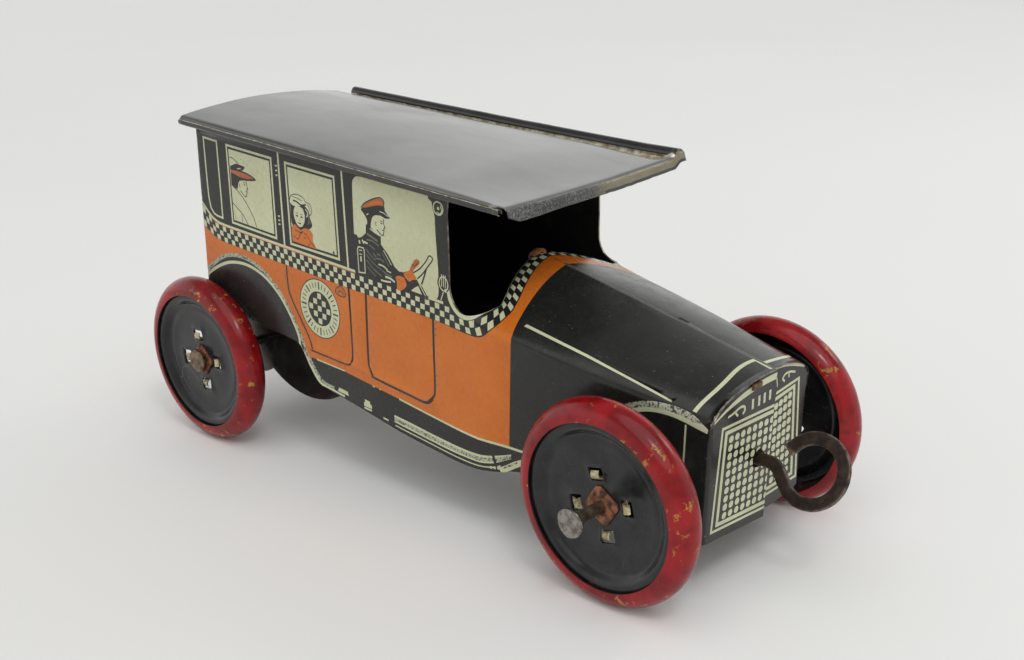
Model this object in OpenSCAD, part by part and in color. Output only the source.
// Wind-up tin taxi with a front starting crank, made of folded and tabbed tinplate.
// Units are millimetres. +Z is up, the front of the car faces -Y, its right side faces -X.
// The car stands nose down: the body is drawn level in its own frame, whose origin is on
// the ground under the front axle, and is then tipped about that point.

/* [Body] */
// Half the width of the cabin over the tinplate
cabin_half = 30.2; // [29.6:0.1:30.3]
// Half the width of the radiator front
nose_half = 21.4; // [20:0.1:23]
// Thickness of the tinplate
sheet = 0.5; // [0.4:0.05:0.6]
// Distance of the radiator front ahead of the axle
nose_y = 16.55; // [16:0.05:17]
// Distance of the rear panel behind the front axle
tail_y = 169.3; // [168:0.1:170]
// Height of the lower edge of the hood sides
hem_z = 15.9; // [15:0.1:17]
// Angle at which the body leans nose down
pitch = 4; // [3.5:0.1:4.5]

/* [Cab opening] */
// Rear edge of the open cab
cab_rear_y = 60.4; // [59:0.1:62]
// Height of the bottom of the cab opening
cab_sill_z = 59.1; // [58.5:0.1:60]

/* [Roof] */
// Half the width of the roof without its rails
roof_half = 34.0; // [33.5:0.1:34.5]
// Height of the arch over its chord
roof_rise = 2.2; // [2:0.1:4]
// Height of the eaves
eave_z = 91.3; // [91:0.1:92]
// Front edge of the roof
roof_front_y = 35.3; // [34:0.1:37]
// Rear edge of the roof
roof_rear_y = 170.4; // [170:0.1:172]
// Radius of the rolled rails
rail_r = 1.05; // [0.9:0.05:1.2]

/* [Wheels] */
// Radius of the wheels over their tyres
wheel_r = 26.5; // [26.5:0.1:26.6]
// Distance between the axles
wheelbase = 163; // [162.8:0.1:163.2]
// Half the track, to the middle of the tyre
track_half = 35.5; // [35.4:0.05:35.6]
// Radius of the tyre's section
tyre_r = 4.6; // [4.4:0.05:4.65]
// Radius of the visible disc
disc_r = 22; // [21.8:0.1:22.2]
// Radius of the axles
axle_r = 1.55; // [1.5:0.01:1.6]
// Distance of the slots from the wheel's centre
slot_ring = 7.9; // [7.7:0.1:8.0]
// How far the front axle's right head stands out from the centreline
head_reach = 49.6; // [48:0.1:50]

/* [Crank] */
// Height of the crank's axis above the ground
crank_z = 30.3; // [30:0.1:30.6]
// Width of the flat bar
bar_w = 3.4; // [3.2:0.05:3.5]
// Thickness of the flat bar
bar_t = 1.4; // [1.2:0.05:1.5]
// Radius of the middle of the ring
ring_r = 8.0; // [7.8:0.1:8.2]
// Angle at which the ring leans to the left
ring_lean = 30; // [20:1:40]

/* [Motor] */
// Half the width over the motor's plates
plate_half = 16; // [15.9:0.1:16.2]
// Thickness of the plates
plate_t = 0.8; // [0.7:0.05:0.9]
// Distance of the mainspring's arbor behind the front axle
arbor_y = 136; // [135.5:0.1:136.5]
// Module of the first pair of wheels
first_module = 0.8; // [0.8:0.01:0.81]
// Module of the second pair of wheels
second_module = 0.7; // [0.7:0.005:0.705]
// Turns of the mainspring
spring_turns = 6; // [5:1:7]

/* [Hidden] */
$fn = 64;

// Small clearances
run_gap = 0.07;
seam_gap = 0.06;
// Radius of the roof's arch
arch_r = (roof_half * roof_half + roof_rise * roof_rise) / (2 * roof_rise);
// Height at which the side walls meet the roof's underside
wall_top = eave_z + roof_rise - sheet - arch_r + sqrt(pow(arch_r - seam_gap, 2) - pow(cabin_half, 2));
eps = 0.01;

// Counts of the gear teeth
great_teeth = 36;
second_pinion_teeth = 10;
second_teeth = 30;
axle_pinion_teeth = 12;
contrate_teeth = 25;
crank_pinion_teeth = 8;
ratchet_teeth = 14;

// Reach of the crank in front of the radiator
ring_out = 15.2;
ring_up = 0.8;
bend_r = 5;
bend_angle = 50;
bar_straight = 3.04;
bar_inside = 8;

// Places in the standing car. Distances are behind the front axle and above the ground.
hole_y = -nose_y * cos(pitch) - crank_z * sin(pitch);
front_reach = -hole_y + ring_out + ring_r + bar_w / 2;
rear_reach = wheelbase + wheel_r;
tyre_face = track_half + tyre_r;
shift_x = (head_reach - tyre_face) / 2;
shift_y = (front_reach - rear_reach) / 2;

// Axles and arbors in the body's own frame, as distance behind and height
function to_body(y, z) = [y * cos(pitch) + z * sin(pitch), z * cos(pitch) - y * sin(pitch)];
front_axle_at = to_body(0, wheel_r);
rear_axle_at = to_body(wheelbase, wheel_r);
arbor_at = [arbor_y, (crank_z - arbor_y * sin(pitch)) / cos(pitch)];
arbor_standing_y = arbor_at[0] * cos(pitch) - arbor_at[1] * sin(pitch);
great_r = first_module * great_teeth / 2;
second_pinion_r = first_module * second_pinion_teeth / 2;
second_r = second_module * second_teeth / 2;
axle_pinion_r = second_module * axle_pinion_teeth / 2;
contrate_r = first_module * contrate_teeth / 2;

// The second arbor stands where both pairs of wheels mesh
reach_first = great_r + second_pinion_r;
reach_second = second_r + axle_pinion_r;
axle_line = rear_axle_at - arbor_at;
axle_span = norm(axle_line);
along_span = (reach_first * reach_first - reach_second * reach_second
    + axle_span * axle_span) / (2 * axle_span);
above_span = sqrt(reach_first * reach_first - along_span * along_span);
span_dir = axle_line / axle_span;
second_at = arbor_at + along_span * span_dir + above_span * [-span_dir[1], span_dir[0]];
first_angle = atan2(second_at[1] - arbor_at[1], second_at[0] - arbor_at[0]);
second_angle = atan2(rear_axle_at[1] - second_at[1], rear_axle_at[0] - second_at[0]);

// ---------- Helpers ----------

// Puts the standing car over the origin
module placed() {
    translate([shift_x, shift_y, 0])
        children();
}

// Tips a part drawn in the level body
module in_body() {
    placed() rotate([pitch, 0, 0])
        children();
}

// Extrudes a side outline, given as distance behind and height, from x = from for len
module across(from, len) {
    translate([from, 0, 0])
        rotate([90, 0, 90])
            linear_extrude(len)
                children();
}

// A round bar across the car at a place given as distance behind and height
module cross_bar(at, r, from, to) {
    across(from, to - from)
        translate(at)
            circle(r);
}

// Extrudes a front outline, given as x and height, from y = from backwards for len
module lengthways(from, len) {
    translate([0, from + len, 0])
        rotate([90, 0, 0])
            linear_extrude(len)
                children();
}

// A straight-sided gear with thin teeth, with one tooth on its own +x axis
module gear_outline(teeth, module_mm) {
    pitch_r = module_mm * teeth / 2;
    step = 360 / teeth;
    root_r = pitch_r - 1.2 * module_mm;
    tip_r = pitch_r + 0.85 * module_mm;
    polygon([
        for (i = [0 : teeth - 1])
            for (p = [[root_r, -0.25], [tip_r, -0.1], [tip_r, 0.1], [root_r, 0.25]])
                p[0] * [cos((i + p[1]) * step), sin((i + p[1]) * step)]
    ]);
}

// ---------- Tinplate body ----------

function half_width(y) = y > 50 ? cabin_half
    : cabin_half - (cabin_half - nose_half) * pow((50 - y) / (50 + nose_y), 1.15);
function shoulder_z(y) = 46.5 + 0.139 * (y + nose_y);
function ridge_z(y) = 54 + 0.158 * (y + nose_y) + 0.00042 * pow(y + nose_y, 2);
function blend(y) = min(1, (y + nose_y) / 60);
function power_x(y) = 2.2 - 0.95 * blend(y);
function power_z(y) = 2.2 - 0.75 * blend(y);

// Edge of the cowl: how far back the hood reaches at a distance x from the centreline
function cowl_y(x) = x < 24.5 ? 56.5 - 8.2 * pow(x / 24.5, 1.35)
    : 48.3 + 3.7 * pow((x - 24.5) / (cabin_half - 24.5), 2);

// One point of the hood's cross-section. a is 0 at the shoulder and 90 at the ridge.
function hood_x(y, a) = half_width(y) * pow(cos(a), 2 / power_x(y));
function hood_z(y, a) = shoulder_z(y)
    + (ridge_z(y) - shoulder_z(y)) * pow(sin(a), 2 / power_z(y));

arch_steps = [0, 12, 24, 36, 48, 60, 72, 82, 90];
side_steps = 3;
side_heights = [for (k = [0 : side_steps]) k / side_steps];
stations = 9;
section_count = len(side_heights) + len(arch_steps) - 1;

// Length position of station i on strip j, from the nose back to the cowl
function strip_a(j) = j < side_steps ? 0 : arch_steps[j - side_steps];
function strip_end(j) = j < side_steps ? 52
    : cowl_y(hood_x(52, strip_a(j)));
function station_y(i, j) = -nose_y + (strip_end(j) + nose_y) * i / stations;
function hood_point(i, j, inset) =
    let (y = station_y(i, j), a = strip_a(j),
        outer_x = hood_x(y, a), outer_z = hood_z(y, a),
        slope = j <= side_steps ? 0 : 90 * pow((j - side_steps) / len(arch_steps), 0.6))
    j < side_steps
        ? [outer_x - inset, y, hem_z + (shoulder_z(y) - hem_z) * side_heights[j]]
        : [max(seam_gap / 2, outer_x - inset * cos(slope)), y, outer_z - inset * sin(slope)];

// The hood half, from its lower edge over the shoulder to the ridge
module hood_shell() {
    cols = section_count;
    rows = stations + 1;
    total = rows * cols;
    pts = [
        for (inset = [0, sheet])
            for (i = [0 : stations])
                for (j = [0 : cols - 1])
                    hood_point(i, j, inset)
    ];
    quads = [
        for (i = [0 : stations - 1])
            for (j = [0 : cols - 2])
                [i * cols + j, i * cols + j + 1, (i + 1) * cols + j + 1, (i + 1) * cols + j]
    ];
    outer = [for (q = quads) each [[q[0], q[1], q[2]], [q[0], q[2], q[3]]]];
    inner = [for (t = outer) [t[2] + total, t[1] + total, t[0] + total]];
    ring = concat(
        [for (j = [0 : cols - 1]) j],
        [for (i = [1 : stations]) i * cols + cols - 1],
        [for (j = [1 : cols - 1]) stations * cols + cols - 1 - j],
        [for (i = [1 : stations - 1]) (stations - i) * cols]
    );
    count = len(ring);
    rim = [
        for (k = [0 : count - 1])
            let (a = ring[k], b = ring[(k + 1) % count])
            each [[b, a, a + total], [b, a + total, b + total]]
    ];
    polyhedron(pts, concat(outer, inner, rim));
}

// Side outline of the cabin, behind the hood. The cab opening is a notch at its top.
module cabin_side() {
    sill_r = 5.2;
    difference() {
        polygon([
            [52 - eps, hem_z - 0.6], [60, 14.9], [80, 16], [97, 18], [112, 19.4],
            [115, 19.8], [118, 21.9], [120.6, 25.8], [123.6, 29.8], [tail_y, 31],
            [tail_y, wall_top], [cab_rear_y - 4, wall_top], [52 - eps, cab_sill_z + 20]
        ]);
        translate([51, cab_sill_z + sill_r])
            square([cab_rear_y - 51, 60]);
        translate([cab_rear_y - sill_r - 4, cab_sill_z])
            square([4, 10]);
        translate([cab_rear_y - sill_r, cab_sill_z + sill_r])
            circle(sill_r);
        translate([51, cab_sill_z - 0.6])
            square([2.6, 30]);
    }
}

// Front outline of the radiator half from the seam x = from outwards
module grille_outline(from) {
    intersection() {
        polygon(concat(
            [[-nose_half, hem_z], [nose_half, hem_z]],
            [for (a = [0 : 6 : 90]) [hood_x(-nose_y, a), hood_z(-nose_y, a)]],
            [for (a = [84 : -6 : 0]) [-hood_x(-nose_y, a), hood_z(-nose_y, a)]]
        ));
        translate([from, 0])
            square([nose_half + 10, 80]);
    }
}

// Outline of the rear panel half
module tail_outline() {
    intersection() {
        translate([seam_gap / 2, 31])
            square([cabin_half - seam_gap / 2, 70]);
        translate([0, eave_z + roof_rise - arch_r - sheet])
            circle(arch_r - seam_gap, $fn = 360);
    }
}

// One half of the body, drawn on the left of the car
module body_half(seam_x, grille_back) {
    difference() {
        union() {
            hood_shell();
            across(cabin_half - sheet, sheet)
                cabin_side();
            lengthways(-nose_y + grille_back, sheet)
                grille_outline(seam_x);
            lengthways(tail_y - sheet, sheet)
                tail_outline();
        }
        // Hole for the crank through the radiator
        rotate([-pitch, 0, 0])
            translate([0, hole_y - 5, crank_z])
                rotate([-90, 0, 0])
                    cylinder(h = 10, r = 2.1);
        // Hole for the front axle
        cross_bar(front_axle_at, 2.2, 15, 35);
    }
}

module right_body_half() {
    color("darkorange")
        in_body() mirror([1, 0, 0])
            body_half(-3.2, 0);
}

module left_body_half() {
    color("orange")
        in_body()
            body_half(0.3, sheet + seam_gap);
}

// Arched roof with a rolled rail along each eave and a lip bent down at the front
module roof_arch(extra) {
    intersection() {
        translate([-roof_half, eave_z - 5])
            square([2 * roof_half, roof_rise + 10]);
        difference() {
            translate([0, eave_z + roof_rise - arch_r])
                circle(arch_r, $fn = 360);
            translate([0, eave_z + roof_rise - arch_r - extra])
                circle(arch_r, $fn = 360);
        }
    }
}

module roof() {
    lip_drop = 3.4;
    color("dimgray") in_body() {
        lengthways(roof_front_y, roof_rear_y - roof_front_y)
            roof_arch(sheet);
        lengthways(roof_front_y, sheet)
            roof_arch(lip_drop);
        for (side = [-1, 1])
            lengthways(roof_front_y + 2, roof_rear_y - roof_front_y - 2)
                translate([side * roof_half, eave_z])
                    circle(rail_r);
    }
}

floor_z = 38.4;

// Floor inside the cabin with turned-down edges, which carries the motor
module chassis_floor() {
    half = cabin_half - sheet - 0.15;
    flange = 5;
    color("saddlebrown") in_body() {
        translate([-half, cab_rear_y, floor_z])
            cube([2 * half, tail_y - cab_rear_y - 1, sheet]);
        for (x = [-half, half - sheet])
            translate([x, cab_rear_y, floor_z - flange])
                cube([sheet, tail_y - cab_rear_y - 1, flange + sheet]);
    }
}

// Folded tab that locks the two halves together behind the cowl's peak
module hood_tab() {
    peak = ridge_z(cowl_y(0));
    color("peru") in_body()
        translate([-2.6, cowl_y(0) + 0.35, peak - 2.4])
            cube([4.6, 0.9, 2.2]);
}

// Folded tab on top of the radiator
module grille_tab() {
    color("sienna") in_body()
        translate([-5.4, -nose_y - 0.75, 51.6])
            cube([3.4, 0.7, 1.5]);
}

// Bracket with two ears that hold the front axle inside the hood
module front_axle_bracket() {
    ear_x = 20;
    top_z = 40;
    foot = half_width(front_axle_at[0] - 5) - sheet - ear_x - 0.15;
    color("slategray") in_body() difference() {
        union() {
            for (x = [-ear_x, ear_x - plate_t])
                translate([x, front_axle_at[0] - 5, front_axle_at[1] - 5])
                    cube([plate_t, 10, top_z - front_axle_at[1] + 5]);
            translate([-ear_x, front_axle_at[0] - 5, top_z - plate_t])
                cube([2 * ear_x, 10, plate_t]);
            for (x = [-ear_x - foot, ear_x - eps])
                translate([x, front_axle_at[0] - 5, top_z - plate_t])
                    cube([foot + eps, 10, plate_t]);
        }
        cross_bar(front_axle_at, axle_r + run_gap, -30, 30);
    }
}

// Plate across the hood with the crank's front bearing
module crank_bracket() {
    back_y = 13;
    half = half_width(back_y) - sheet - 0.15;
    color("slategray") placed() difference() {
        translate([-half, back_y, crank_z - 8])
            cube([2 * half, plate_t, 16]);
        translate([0, back_y - 1, crank_z])
            rotate([-90, 0, 0])
                cylinder(h = 3, r = shaft_r + run_gap);
    }
}

// ---------- Wheels ----------

hub_r = 2.7;
disc_face = track_half + 3.7;
// Radius of the tyre's open back
tyre_open_r = 23.2;
disc_floor = disc_face - 2;
disc_t = 0.6;

// Turns a profile drawn as radius and distance outwards about an axle on the right or left
module on_axle(y, side) {
    placed() translate([0, y, wheel_r])
        rotate([0, side * 90, 0])
            children();
}

module tyre(y, side) {
    color("firebrick") on_axle(y, side)
        rotate_extrude($fn = 128)
            difference() {
                translate([wheel_r - tyre_r, track_half])
                    circle(tyre_r);
                translate([wheel_r - tyre_r - 0.1, track_half])
                    circle(tyre_r - 0.7);
                translate([0, track_half - 10])
                    square([tyre_open_r, 10]);
                translate([0, track_half - 1])
                    square([disc_r - 2.6, 20]);
                translate([0, track_half + 1])
                    square([disc_r + 0.02, 10]);
            }
}

module disc(y, side, turn) {
    color("dimgray") on_axle(y, side) difference() {
        rotate_extrude($fn = 128)
            polygon([
                [hub_r + eps, disc_floor - disc_t], [18.6, disc_floor - disc_t],
                [19.6, disc_face - disc_t - 0.2], [disc_r - 2, disc_face - disc_t],
                [disc_r - 0.05, disc_face - disc_t], [disc_r - 0.05, disc_face],
                [19.9, disc_face], [19.1, disc_face - 0.5], [18.3, disc_floor],
                [hub_r + eps, disc_floor]
            ]);
        for (k = [0 : 3])
            rotate([0, 0, k * 90 + side * turn])
                translate([slot_ring - 1.7, -2.1, disc_floor - 2])
                    cube([3.4, 4.2, 4]);
    }
}

// Square pressed hub with four prongs that come through the disc's slots
module hub(y, side, turn, back, bore_r) {
    cap_half = 4.1;
    color("chocolate") on_axle(y, side) difference() {
        union() {
            translate([0, 0, back])
                cylinder(h = disc_floor + 1.2 - back, r = hub_r);
            translate([0, 0, disc_floor + 0.02])
                rotate([0, 0, 45 + side * turn])
                    translate([-cap_half, -cap_half, 0])
                        cube([2 * cap_half, 2 * cap_half, 0.9]);
            translate([0, 0, disc_floor - disc_t - 0.72])
                cylinder(h = 0.7, r = slot_ring + 0.9);
            for (k = [0 : 3])
                rotate([0, 0, k * 90 + side * turn])
                    translate([slot_ring - 0.4, -1.5, disc_floor - disc_t - 0.2])
                        cube([0.7, 3, disc_t + 1.2]);
        }
        translate([0, 0, back - 1])
            cylinder(h = 20, r = bore_r);
    }
}

front_turn = -11;
rear_turn = -5;
// The front hubs have long sleeves that hold the wheels off the hood
front_hub_back = half_width(front_axle_at[0] + 3) + 0.4;
rear_hub_back = track_half - 2.6;
module front_right_tyre() { tyre(0, -1); }
module front_right_disc() { disc(0, -1, front_turn); }
module front_right_hub() { hub(0, -1, front_turn, front_hub_back, axle_r + run_gap); }
module front_left_tyre() { tyre(0, 1); }
module front_left_disc() { disc(0, 1, 35); }
module front_left_hub() { hub(0, 1, 35, front_hub_back, axle_r + run_gap); }
module rear_right_tyre() { tyre(wheelbase, -1); }
module rear_right_disc() { disc(wheelbase, -1, rear_turn); }
module rear_left_tyre() { tyre(wheelbase, 1); }
module rear_left_disc() { disc(wheelbase, 1, 5); }

// The rear hubs are pressed on the axle, so their bore is filled by it
module rear_right_hub() { hub(wheelbase, -1, rear_turn, rear_hub_back, axle_r); }
module rear_left_hub() { hub(wheelbase, 1, 5, rear_hub_back, axle_r); }

// Axle with a nail head on each end
module headed_axle(y, right_end, left_end) {
    head_r = 3.8;
    head_t = 1.5;
    color("gray") placed() translate([0, y, wheel_r]) rotate([0, 90, 0]) {
        translate([0, 0, -right_end + head_t - eps])
            cylinder(h = right_end + left_end - 2 * head_t + 2 * eps, r = axle_r);
        translate([0, 0, -right_end])
            cylinder(h = head_t, r1 = head_r - 0.5, r2 = head_r);
        translate([0, 0, left_end - head_t])
            cylinder(h = head_t, r1 = head_r, r2 = head_r - 0.5);
    }
}

hub_face = disc_floor + 1.2;
module front_axle() { headed_axle(0, head_reach, hub_face + 0.4 + 1.5); }
module rear_axle() { headed_axle(wheelbase, hub_face + 0.3 + 1.5, hub_face + 0.3 + 1.5); }

// ---------- Clockwork motor ----------

pillar_r = 1.3;
pillar_at = [[121.5, 33.4], [122.5, 11.0], [165.8, 33.8]];

// Side outline of a motor plate, with a rounded belly and a scalloped rear edge
module motor_outline() {
    belly_r = 31;
    difference() {
        union() {
            intersection() {
                translate([141, 34])
                    circle(belly_r, $fn = 180);
                translate([118, -5])
                    square([46, floor_z + 4.9]);
            }
            translate(rear_axle_at)
                circle(10.4);
            translate([150, 16])
                square([18.2, floor_z - 16.1]);
            translate([116, 14])
                square([20, floor_z - 14.1]);
            translate([120, 14])
                circle(4);
        }
        // Scallop between the belly and the axle's lobe
        translate([156.6, 1.4])
            circle(3.6);
    }
}

module motor_plate(side) {
    color("dimgray") in_body() difference() {
        mirror([side < 0 ? 1 : 0, 0, 0])
            across(plate_half - plate_t, plate_t)
                motor_outline();
        cross_bar(rear_axle_at, axle_r + run_gap, -30, 30);
        cross_bar(arbor_at, arbor_r + run_gap, -30, 30);
        cross_bar(second_at, second_arbor_r + run_gap, -30, 30);
        for (at = pillar_at)
            cross_bar(at, 0.8, -30, 30);
    }
}

module motor_plate_right() { motor_plate(-1); }
module motor_plate_left() { motor_plate(1); }

// Plate across the front of the motor with the crank's rear bearing
module motor_front_plate() {
    inner = plate_half - plate_t - 0.02;
    color("dimgray") difference() {
        in_body()
            translate([-inner, 116.4, 16])
                cube([2 * inner, plate_t, 18]);
        placed()
            translate([0, 100, crank_z])
                rotate([-90, 0, 0])
                    cylinder(h = 30, r = shaft_r + run_gap);
    }
}

// Riveted pillars that hold the plates apart
module motor_pillars() {
    inner = plate_half - plate_t;
    color("darkgray") in_body()
        for (at = pillar_at) {
            cross_bar(at, pillar_r, -inner, inner);
            cross_bar(at, 0.8, -plate_half - 0.1, plate_half + 0.1);
            for (from = [-plate_half - 0.7, plate_half])
                cross_bar(at, 1.5, from, from + 0.7);
        }
}

// Tabs of the plates, bent over on the floor
module motor_fixing_tabs() {
    color("dimgray") in_body()
        for (y = [126, 158])
            for (side = [-1, 1])
                translate([side * (plate_half - 2) - 2, y - 3, floor_z + sheet + 0.02])
                    cube([4, 6, plate_t]);
}

arbor_r = 1.5;
second_arbor_r = 1.1;
shaft_r = 1.1;
spring_from = -14.4;
spring_width = 7.6;
great_x = 9;
ratchet_x = great_x + 1.3;
contrate_x = 5.4;

// Coiled flat spring: one strip that follows a spiral from the arbor outwards
module mainspring() {
    inner_r = 2.3;
    outer_r = 12.6;
    strip = 0.45;
    steps = spring_turns * 20;
    function spiral(k, off) =
        let (a = 360 * spring_turns * k / steps, r = inner_r + (outer_r - inner_r) * k / steps + off)
        r * [cos(a), sin(a)];
    color("steelblue") in_body()
        across(spring_from, spring_width)
            translate(arbor_at)
                polygon(concat(
                    [for (k = [0 : steps]) spiral(k, 0)],
                    [for (k = [steps : -1 : 0]) spiral(k, strip)]
                ));
}

// Arbor that the crank winds
module arbor() {
    color("lightgray") in_body() {
        cross_bar(arbor_at, arbor_r, -plate_half - 1, plate_half + 1);
    }
}

// Ratchet wheel with one-way teeth, fixed on the arbor
module ratchet_wheel() {
    tip_r = 5.4;
    root_r = 4.2;
    color("goldenrod") in_body()
        across(ratchet_x, 1.2)
            translate(arbor_at)
                difference() {
                    polygon([
                        for (i = [0 : ratchet_teeth - 1])
                            for (p = [[root_r, 0], [tip_r, 0.1]])
                                p[0] * [cos((i + p[1]) * 360 / ratchet_teeth),
                                    sin((i + p[1]) * 360 / ratchet_teeth)]
                    ]);
                    circle(arbor_r);
                }
}

// Contrate wheel: its teeth stand up from its face towards the crank's pinion
module contrate_wheel() {
    tooth_h = 2.8;
    color("goldenrod") placed()
        translate([contrate_x, arbor_standing_y, crank_z])
            rotate([0, 90, 0]) {
                difference() {
                    cylinder(h = 0.9, r = contrate_r + 1.3);
                    translate([0, 0, -1])
                        cylinder(h = 3, r = arbor_r);
                }
                for (i = [0 : contrate_teeth - 1])
                    rotate([0, 0, i * 360 / contrate_teeth])
                        translate([0, -contrate_r + 1.3, eps])
                            rotate([90, 0, 0])
                                linear_extrude(2.6)
                                    polygon([[-0.5, 0], [0.5, 0], [0.28, -tooth_h],
                                        [-0.28, -tooth_h]]);
            }
}

// First wheel of the train, loose on the arbor
module great_wheel() {
    color("gold") in_body() difference() {
        across(great_x, 1.2)
            translate(arbor_at)
                rotate([0, 0, first_angle])
                    gear_outline(great_teeth, first_module);
        cross_bar(arbor_at, arbor_r + run_gap, 0, 20);
        for (k = [0 : 3])
            across(0, 20)
                translate(arbor_at)
                    rotate([0, 0, 45 + 90 * k])
                        translate([8.2, 0])
                            circle(2.2);
    }
}

click_at = arbor_at + 9.2 * [cos(80), sin(80)];

// Stud on the great wheel that the click turns on
module click_stud() {
    color("lightgray") in_body() {
        cross_bar(click_at, 0.8, great_x + 1.2, great_x + 3);
        cross_bar(click_at, 1.4, great_x + 3, great_x + 3.5);
    }
}

// Click that drops into the ratchet's teeth, drawn just lifted clear of them
module click() {
    tip = arbor_at + 5.75 * [cos(28), sin(28)];
    color("silver") in_body() difference() {
        across(ratchet_x + 0.05, 1.1) union() {
            translate(click_at)
                circle(1.9);
            polygon([
                click_at + [0.2, 1.4], click_at + [1.4, 0.2], tip + [0.9, 0.5], tip,
                tip + [-0.5, 1.0], click_at + [-0.9, -1.1]
            ]);
        }
        cross_bar(click_at, 0.8 + run_gap, 0, 20);
    }
}

// Light spring on the great wheel that presses on the click's back
module click_spring() {
    foot = arbor_at + 12.3 * [cos(120), sin(120)];
    color("steelblue") in_body()
        across(great_x + 1.2, 1.2) union() {
            translate(foot)
                circle(0.7);
            polygon([
                foot + [0, 0.25], click_at + [1.2, 2.55], click_at + [1.2, 2.3], foot + [0, -0.25]
            ]);
        }
}

module second_arbor() {
    color("lightgray") in_body()
        cross_bar(second_at, second_arbor_r, -plate_half - 0.6, plate_half + 0.6);
}

module second_pinion() {
    color("goldenrod") in_body() difference() {
        across(great_x - 0.6, 2.4)
            translate(second_at)
                rotate([0, 0, first_angle + 180 + 180 / second_pinion_teeth])
                    gear_outline(second_pinion_teeth, first_module);
        cross_bar(second_at, second_arbor_r, 0, 20);
    }
}

second_x = -3.6;
module second_wheel() {
    color("gold") in_body() difference() {
        across(second_x, 1)
            translate(second_at)
                rotate([0, 0, second_angle])
                    gear_outline(second_teeth, second_module);
        cross_bar(second_at, second_arbor_r, -10, 10);
    }
}

module axle_pinion() {
    color("goldenrod") in_body() difference() {
        across(second_x - 0.8, 2.6)
            translate(rear_axle_at)
                rotate([0, 0, second_angle + 180 + 180 / axle_pinion_teeth])
                    gear_outline(axle_pinion_teeth, second_module);
        cross_bar(rear_axle_at, axle_r, -10, 10);
    }
}

// ---------- Crank ----------

// Points of the bar's centreline as [out, up, direction]
join_angle = 270 - bend_angle;
end_angle = 500;
ring_start = [ring_out + ring_r * cos(join_angle), ring_up + ring_r * sin(join_angle)];
ring_end = [ring_out + ring_r * cos(end_angle), ring_up + ring_r * sin(end_angle)];
centreline = concat(
    [[-bar_inside, 0, 0]],
    [for (a = [0 : 5 : bend_angle])
        [bar_straight + bend_r * sin(a), -bend_r * (1 - cos(a)), -a]],
    [for (a = [join_angle : 4 : end_angle])
        [ring_out + ring_r * cos(a), ring_up + ring_r * sin(a), a + 90]],
    [[ring_end[0] + 2.6 * cos(end_angle + 90), ring_end[1] + 2.6 * sin(end_angle + 90),
        end_angle + 90]]
);

module on_crank() {
    placed() translate([0, hole_y, crank_z])
        children();
}

// Flat bar bent into an S and then an open ring
module crank_handle() {
    color("saddlebrown") on_crank()
        rotate([0, ring_lean, 0])
            mirror([0, 1, 0])
                across(-bar_t / 2, bar_t)
                    polygon(concat(
                        [for (p = centreline) [p[0] - sin(p[2]) * bar_w / 2,
                            p[1] + cos(p[2]) * bar_w / 2]],
                        [for (k = [len(centreline) - 1 : -1 : 0])
                            let (p = centreline[k])
                            [p[0] + sin(p[2]) * bar_w / 2, p[1] - cos(p[2]) * bar_w / 2]]
                    ));
}

// Collar that joins the bar to the long shaft
module crank_collar() {
    color("gray") on_crank() difference() {
        translate([0, 3, 0])
            rotate([-90, 0, 0])
                cylinder(h = 10, r = 2.5);
        rotate([0, ring_lean, 0])
            translate([-bar_t / 2 - 0.01, 0, -bar_w / 2 - 0.01])
                cube([bar_t + 0.02, bar_inside + 0.01, bar_w + 0.02]);
        translate([0, bar_inside, 0])
            rotate([-90, 0, 0])
                cylinder(h = 10, r = shaft_r);
    }
}

crank_pinion_y = arbor_standing_y - contrate_r;
crank_pinion_len = 3;

// Long shaft from the collar back to the motor
module crank_shaft() {
    start = hole_y + bar_inside + 0.05;
    end = crank_pinion_y + crank_pinion_len / 2 + 0.4;
    color("gray") placed()
        translate([0, start, crank_z])
            rotate([-90, 0, 0])
                cylinder(h = end - start, r = shaft_r);
}

module crank_pinion() {
    color("goldenrod") placed()
        translate([0, crank_pinion_y - crank_pinion_len / 2, crank_z])
            rotate([-90, 0, 0])
                linear_extrude(crank_pinion_len)
                    difference() {
                        rotate([0, 0, 180 / crank_pinion_teeth])
                            gear_outline(crank_pinion_teeth, first_module);
                        circle(shaft_r);
                    }
}

right_body_half();
left_body_half();
roof();
chassis_floor();
hood_tab();
grille_tab();
front_axle_bracket();
crank_bracket();
front_axle();
front_right_tyre();
front_right_disc();
front_right_hub();
front_left_tyre();
front_left_disc();
front_left_hub();
rear_axle();
axle_pinion();
rear_right_tyre();
rear_right_disc();
rear_right_hub();
rear_left_tyre();
rear_left_disc();
rear_left_hub();
motor_plate_right();
motor_plate_left();
motor_front_plate();
motor_pillars();
motor_fixing_tabs();
mainspring();
arbor();
ratchet_wheel();
contrate_wheel();
great_wheel();
click_stud();
click();
click_spring();
second_arbor();
second_pinion();
second_wheel();
crank_handle();
crank_collar();
crank_shaft();
crank_pinion();
